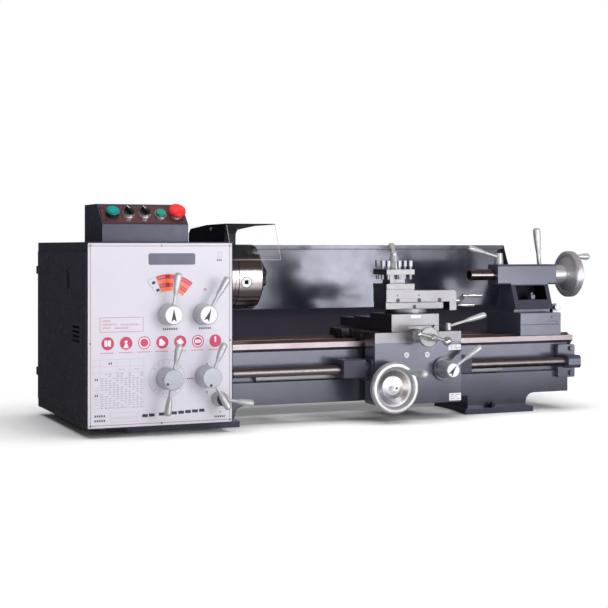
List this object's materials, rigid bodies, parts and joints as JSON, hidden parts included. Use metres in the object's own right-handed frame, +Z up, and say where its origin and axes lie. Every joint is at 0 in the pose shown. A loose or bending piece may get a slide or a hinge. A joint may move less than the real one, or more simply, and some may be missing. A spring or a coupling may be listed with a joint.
{
  "type": "bench lathe",
  "caption": "Manual bench lathe: cast bed on two feet, cabinet headstock with geared train, guarded jaw chuck, geared carriage with compound slide and tool post, and a tailstock.",
  "frame": {"origin": "centre of the four stand-bolt holes, at bench level", "axes": "+X along the bed towards the tailstock, +Y to the back, +Z up"},
  "size_m": [1.4429, 0.6325, 0.5276],
  "materials": {
    "casting": "smooth dark blue-grey enamel on cast iron, ways ground bright",
    "ground_iron": "finely ground",
    "bright_steel": "ground and turned",
    "chrome": "polished",
    "blacked_steel": "oil-blacked",
    "gear_steel": "machined",
    "sheet_dark": "semi-gloss dark enamel",
    "guard_blue": "satin grey-blue enamel",
    "panel_white": "satin off-white enamel",
    "plate_maroon": "satin brown-maroon enamel",
    "grey_iron": "grey machine enamel",
    "motor_shell": "painted aluminium",
    "pulley_alloy": "turned",
    "belt_rubber": "matte",
    "clear": "clear",
    "lamp_green": "clear green lens in a dark collar",
    "button_green": "gloss",
    "button_red": "gloss",
    "black_plastic": "satin"
  },
  "bodies": {
    "frame": {"bed": "casting", "rack": "bright_steel", "leadscrew_bracket": "casting", "levelling_screws": "blacked_steel", "splash_guard": "guard_blue", "cabinet": "sheet_dark", "front_panel": "panel_white", "headstock": "grey_iron", "feed_gearbox": "grey_iron", "gear_bracket": "grey_iron", "motor": "motor_shell", "drive_belt": "belt_rubber", "control_box": "sheet_dark", "control_plate": "plate_maroon", "pilot_lamp": "lamp_green", "guard_bracket": "bright_steel"},
    "spindle": {"spindle": "bright_steel", "drive_pulley": "pulley_alloy", "chuck_body": "bright_steel", "chuck_pinions": "bright_steel"},
    "jaw_1": {"jaw_1": "bright_steel"},
    "jaw_2": {"jaw_2": "bright_steel"},
    "jaw_3": {"jaw_3": "bright_steel"},
    "motor_pulley": {"motor_pulley": "pulley_alloy"},
    "idler_gear": {"idler_gear": "gear_steel"},
    "leadscrew": {"leadscrew": "bright_steel"},
    "chuck_guard": {"chuck_guard": "sheet_dark", "guard_shield": "clear"},
    "end_door": {"end_door": "sheet_dark"},
    "lever_a": {"lever_a": "chrome"},
    "lever_b": {"lever_b": "chrome"},
    "lever_c": {"lever_c": "chrome"},
    "lever_d": {"lever_d": "chrome"},
    "lever_e": {"lever_e": "chrome"},
    "selector_left": {"selector_left": "black_plastic"},
    "selector_right": {"selector_right": "black_plastic"},
    "start_button": {"start_button": "button_green"},
    "stop_button": {"stop_button": "button_red"},
    "carriage": {"saddle": "ground_iron", "apron": "casting", "screw_covers": "sheet_dark"},
    "carriage_wheel": {"carriage_wheel": "chrome"},
    "carriage_handle": {"carriage_handle": "chrome"},
    "half_nut_lever": {"half_nut_lever": "chrome"},
    "carriage_lock": {"carriage_lock": "chrome"},
    "cross_slide": {"cross_slide": "ground_iron"},
    "cross_crank": {"cross_crank": "chrome"},
    "swivel": {"swivel_base": "ground_iron"},
    "top_slide": {"top_slide": "ground_iron"},
    "top_crank": {"top_crank": "chrome"},
    "tool_post": {"tool_post": "bright_steel", "tool_screws": "blacked_steel"},
    "tool_post_lever": {"tool_post_lever": "chrome"},
    "tailstock": {"tailstock_base": "casting", "tailstock_body": "casting"},
    "quill": {"quill": "bright_steel"},
    "tail_wheel": {"tail_wheel": "chrome"},
    "tail_handle": {"tail_handle": "chrome"},
    "quill_lock": {"quill_lock": "chrome"},
    "clamp_lever": {"clamp_lever": "chrome"}
  },
  "joints": [
    {"name": "spindle_turn", "type": "hinge", "parent": "frame", "child": "spindle", "pos_m": [-0.3, 0, 0.3535], "axis": [1, 0, 0], "continuous": true},
    {"name": "motor_turn", "type": "hinge", "parent": "frame", "child": "motor_pulley", "pos_m": [-0.65, 0.235, 0.115], "axis": [1, 0, 0], "continuous": true},
    {"name": "idler_turn", "type": "hinge", "parent": "frame", "child": "idler_gear", "pos_m": [-0.616, -0.08324, 0.25106], "axis": [1, 0, 0], "continuous": true},
    {"name": "leadscrew_turn", "type": "hinge", "parent": "frame", "child": "leadscrew", "pos_m": [0, -0.131, 0.128], "axis": [1, 0, 0], "continuous": true},
    {"name": "jaw_1_slide", "type": "slide", "parent": "spindle", "child": "jaw_1", "axis": [0, -0.3746, -0.9272], "range_m": [0, 0.02]},
    {"name": "jaw_2_slide", "type": "slide", "parent": "spindle", "child": "jaw_2", "axis": [0, 0.9903, 0.1392], "range_m": [0, 0.02]},
    {"name": "jaw_3_slide", "type": "slide", "parent": "spindle", "child": "jaw_3", "axis": [0, -0.6157, 0.788], "range_m": [0, 0.02]},
    {"name": "guard_hinge", "type": "hinge", "parent": "frame", "child": "chuck_guard", "pos_m": [-0.318, 0.16, 0.4245], "axis": [-1, 0, 0], "range_deg": [0, 100]},
    {"name": "door_hinge", "type": "hinge", "parent": "frame", "child": "end_door", "pos_m": [-0.668, 0.3343, 0.22], "axis": [0, 0, -1], "range_deg": [0, 100]},
    {"name": "lever_a_turn", "type": "hinge", "parent": "frame", "child": "lever_a", "pos_m": [-0.489, -0.186, 0.274], "axis": [0, 1, 0], "range_deg": [-60, 15]},
    {"name": "lever_b_turn", "type": "hinge", "parent": "frame", "child": "lever_b", "pos_m": [-0.406, -0.186, 0.273], "axis": [0, 1, 0], "range_deg": [-29, 31]},
    {"name": "lever_c_turn", "type": "hinge", "parent": "frame", "child": "lever_c", "pos_m": [-0.493, -0.186, 0.129], "axis": [0, 1, 0], "range_deg": [-30, 30]},
    {"name": "lever_d_turn", "type": "hinge", "parent": "frame", "child": "lever_d", "pos_m": [-0.4005, -0.186, 0.1305], "axis": [0, 1, 0], "range_deg": [-20, 20]},
    {"name": "lever_e_turn", "type": "hinge", "parent": "frame", "child": "lever_e", "pos_m": [-0.368, -0.186, 0.078], "axis": [0, 1, 0], "range_deg": [-30, 30]},
    {"name": "selector_left_turn", "type": "hinge", "parent": "frame", "child": "selector_left", "pos_m": [-0.5674, -0.128, 0.50075], "axis": [0, -0.7031, 0.7111], "range_deg": [-45, 45]},
    {"name": "selector_right_turn", "type": "hinge", "parent": "frame", "child": "selector_right", "pos_m": [-0.5293, -0.128, 0.50075], "axis": [0, -0.7031, 0.7111], "range_deg": [-45, 45]},
    {"name": "start_press", "type": "slide", "parent": "frame", "child": "start_button", "axis": [0, 0.7031, -0.7111], "range_m": [0, 0.004], "stiffness_N_per_m": 300},
    {"name": "stop_press", "type": "slide", "parent": "frame", "child": "stop_button", "axis": [0, 0.7031, -0.7111], "range_m": [0, 0.004], "stiffness_N_per_m": 300},
    {"name": "carriage_travel", "type": "slide", "parent": "frame", "child": "carriage", "axis": [1, 0, 0], "range_m": [-0.22, 0.03]},
    {"name": "carriage_wheel_turn", "type": "hinge", "parent": "carriage", "child": "carriage_wheel", "pos_m": [0.076, -0.165, 0.086], "axis": [0, -1, 0], "range_deg": [-640, 100]},
    {"name": "carriage_handle_spin", "type": "hinge", "parent": "carriage_wheel", "child": "carriage_handle", "pos_m": [0.11454, -0.22, 0.12454], "axis": [0, -1, 0], "continuous": true},
    {"name": "half_nut_turn", "type": "hinge", "parent": "carriage", "child": "half_nut_lever", "pos_m": [0.233, -0.165, 0.124], "axis": [0, 1, 0], "range_deg": [-35, 10]},
    {"name": "carriage_lock_turn", "type": "hinge", "parent": "carriage", "child": "carriage_lock", "pos_m": [0.265, -0.13, 0.217], "axis": [0, 0, 1], "range_deg": [-30, 8]},
    {"name": "cross_travel", "type": "slide", "parent": "carriage", "child": "cross_slide", "axis": [0, 1, 0], "range_m": [-0.025, 0.06]},
    {"name": "cross_crank_turn", "type": "hinge", "parent": "carriage", "child": "cross_crank", "pos_m": [0.162, -0.195, 0.208], "axis": [0, 1, 0], "range_deg": [-2300, 5500]},
    {"name": "swivel_turn", "type": "hinge", "parent": "cross_slide", "child": "swivel", "pos_m": [0.178, -0.072, 0.26], "axis": [0, 0, 1], "range_deg": [0, 60]},
    {"name": "top_travel", "type": "slide", "parent": "swivel", "child": "top_slide", "axis": [1, 0, 0], "range_m": [-0.015, 0.05]},
    {"name": "top_crank_turn", "type": "hinge", "parent": "top_slide", "child": "top_crank", "pos_m": [0.301, -0.072, 0.2897], "axis": [1, 0, 0], "range_deg": [-1400, 4600]},
    {"name": "tool_post_turn", "type": "hinge", "parent": "top_slide", "child": "tool_post", "pos_m": [0.141, -0.072, 0.321], "axis": [0, 0, 1], "continuous": true},
    {"name": "tool_post_lever_turn", "type": "hinge", "parent": "top_slide", "child": "tool_post_lever", "pos_m": [0.141, -0.072, 0.371], "axis": [0, 0, 1], "range_deg": [-60, 60]},
    {"name": "tailstock_travel", "type": "slide", "parent": "frame", "child": "tailstock", "axis": [1, 0, 0], "range_m": [-0.02, 0.03]},
    {"name": "quill_travel", "type": "slide", "parent": "tailstock", "child": "quill", "axis": [-1, 0, 0], "range_m": [-0.07, 0.03]},
    {"name": "tail_wheel_turn", "type": "hinge", "parent": "tailstock", "child": "tail_wheel", "pos_m": [0.67, 0, 0.3535], "axis": [-1, 0, 0], "range_deg": [-5100, 2250]},
    {"name": "tail_handle_spin", "type": "hinge", "parent": "tail_wheel", "child": "tail_handle", "pos_m": [0.723, -0.022, 0.401], "axis": [1, 0, 0], "continuous": true},
    {"name": "quill_lock_turn", "type": "hinge", "parent": "tailstock", "child": "quill_lock", "pos_m": [0.5, 0.012, 0.38], "axis": [0, 0, 1], "range_deg": [-30, 60]},
    {"name": "clamp_turn", "type": "hinge", "parent": "tailstock", "child": "clamp_lever", "pos_m": [0.646, 0.04, 0.35], "axis": [0, 1, 0], "range_deg": [-45, 20]}
  ],
  "couplings": [
    {"joint": "motor_turn", "follows": "spindle_turn", "ratio": 2},
    {"joint": "idler_turn", "follows": "spindle_turn", "ratio": -0.43478},
    {"joint": "leadscrew_turn", "follows": "spindle_turn", "ratio": 1},
    {"joint": "jaw_2_slide", "follows": "jaw_1_slide", "ratio": 1},
    {"joint": "jaw_3_slide", "follows": "jaw_1_slide", "ratio": 1},
    {"joint": "carriage_wheel_turn", "follows": "carriage_travel", "rad_per_m": 49.383},
    {"joint": "cross_crank_turn", "follows": "cross_travel", "rad_per_m": 1570.8},
    {"joint": "top_crank_turn", "follows": "top_travel", "rad_per_m": 1570.8},
    {"joint": "tail_wheel_turn", "follows": "quill_travel", "rad_per_m": 1256.6}
  ]
}
